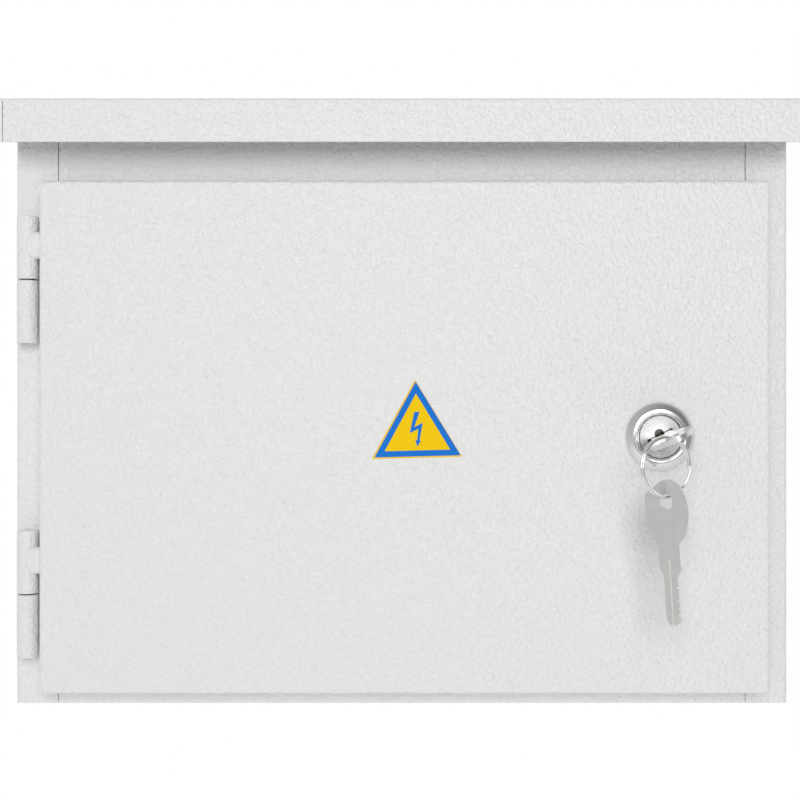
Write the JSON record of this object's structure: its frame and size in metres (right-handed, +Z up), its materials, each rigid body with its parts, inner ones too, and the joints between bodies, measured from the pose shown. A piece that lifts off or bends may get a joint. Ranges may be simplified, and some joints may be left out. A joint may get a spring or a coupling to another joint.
{
  "type": "wall-mounted electrical enclosure",
  "caption": "Wall-mounted sheet-steel electrical enclosure with a rain hood, a side-hinged door on barrel hinges and a keyed cam lock with keys on a ring.",
  "frame": {"origin": "centre of the four wall-fixing holes, on the outside of the back sheet", "axes": "+X to the right as seen from the front, +Y into the wall, +Z up; the door faces -Y"},
  "size_m": [0.305, 0.1877, 0.2432],
  "materials": {
    "powder_coat": "light grey textured powder coat",
    "rivet_aluminium": "plain",
    "hinge_steel": "drawn, greased",
    "galvanised_sheet": "hot-dip galvanised, faint spangle",
    "zinc_plated_steel": "bright zinc plated",
    "chrome": "polished chrome plating",
    "key_nickel": "nickel plated, satin",
    "ring_steel": "nickel plated spring wire",
    "brass": "machined",
    "blue_plastic": "moulded",
    "green_plastic": "moulded",
    "grommet_rubber": "moulded",
    "foam_rubber": "foamed in place",
    "sign_vinyl": "printed self-adhesive film"
  },
  "bodies": {
    "enclosure": {"body_wrap": "powder_coat", "top_panel": "powder_coat", "bottom_panel": "powder_coat", "rain_hood": "powder_coat", "hood_rivets": "rivet_aluminium", "lower_hinge_body_knuckle": "powder_coat", "lower_hinge_pin": "hinge_steel", "lower_hinge_washer": "brass", "upper_hinge_body_knuckle": "powder_coat", "upper_hinge_pin": "hinge_steel", "upper_hinge_washer": "brass", "mounting_plate": "galvanised_sheet", "plate_studs": "zinc_plated_steel", "plate_back_nuts": "zinc_plated_steel", "plate_washers": "zinc_plated_steel", "plate_nuts": "zinc_plated_steel", "din_rail": "galvanised_sheet", "rail_screws": "zinc_plated_steel", "neutral_bar": "brass", "neutral_bar_screws": "zinc_plated_steel", "neutral_bar_supports": "blue_plastic", "neutral_bar_support_screws": "zinc_plated_steel", "earth_bar": "brass", "earth_bar_screws": "zinc_plated_steel", "earth_bar_supports": "green_plastic", "earth_bar_support_screws": "zinc_plated_steel", "body_earth_stud": "zinc_plated_steel", "body_earth_washer": "zinc_plated_steel", "body_earth_nut": "zinc_plated_steel", "cable_grommet_left": "grommet_rubber", "cable_grommet_middle": "grommet_rubber", "cable_grommet_right": "grommet_rubber"},
    "door": {"door_panel": "powder_coat", "door_gasket": "foam_rubber", "warning_sign": "sign_vinyl", "lower_hinge_door_knuckle": "powder_coat", "upper_hinge_door_knuckle": "powder_coat", "lock_housing": "chrome", "lock_seal": "grommet_rubber", "lock_washer": "zinc_plated_steel", "lock_nut": "zinc_plated_steel", "door_earth_stud": "zinc_plated_steel", "door_earth_washer": "zinc_plated_steel", "door_earth_nut": "zinc_plated_steel"},
    "lock": {"lock_plug": "chrome", "wafer_tumblers": "brass", "lock_cam": "zinc_plated_steel", "cam_washer": "zinc_plated_steel", "cam_screw": "zinc_plated_steel"},
    "key": {"inserted_key": "key_nickel"},
    "ring": {"key_ring": "ring_steel"},
    "spare": {"spare_key": "key_nickel"}
  },
  "joints": [
    {"name": "door_hinge", "type": "hinge", "parent": "enclosure", "child": "door", "pos_m": [-0.1443, -0.1445, 0], "axis": [0, 0, -1], "range_deg": [0, 175]},
    {"name": "lock_turn", "type": "hinge", "parent": "door", "child": "lock", "pos_m": [0.0977, -0.1535, -0.011], "axis": [0, -1, 0], "range_deg": [-25.8, 64.2]},
    {"name": "key_slide", "type": "slide", "parent": "lock", "child": "key", "axis": [0, -1, 0], "range_m": [0, 0.022]},
    {"name": "ring_swing", "type": "hinge", "parent": "key", "child": "ring", "pos_m": [0.09661, -0.1798, -0.01153], "axis": [0.7999, 0.4589, 0.3867], "range_deg": [-12, 12]},
    {"name": "spare_swing", "type": "hinge", "parent": "ring", "child": "spare", "pos_m": [0.09478, -0.18163, -0.03199], "axis": [0.8746, 0.4848, 0], "range_deg": [-30, 15]}
  ]
}
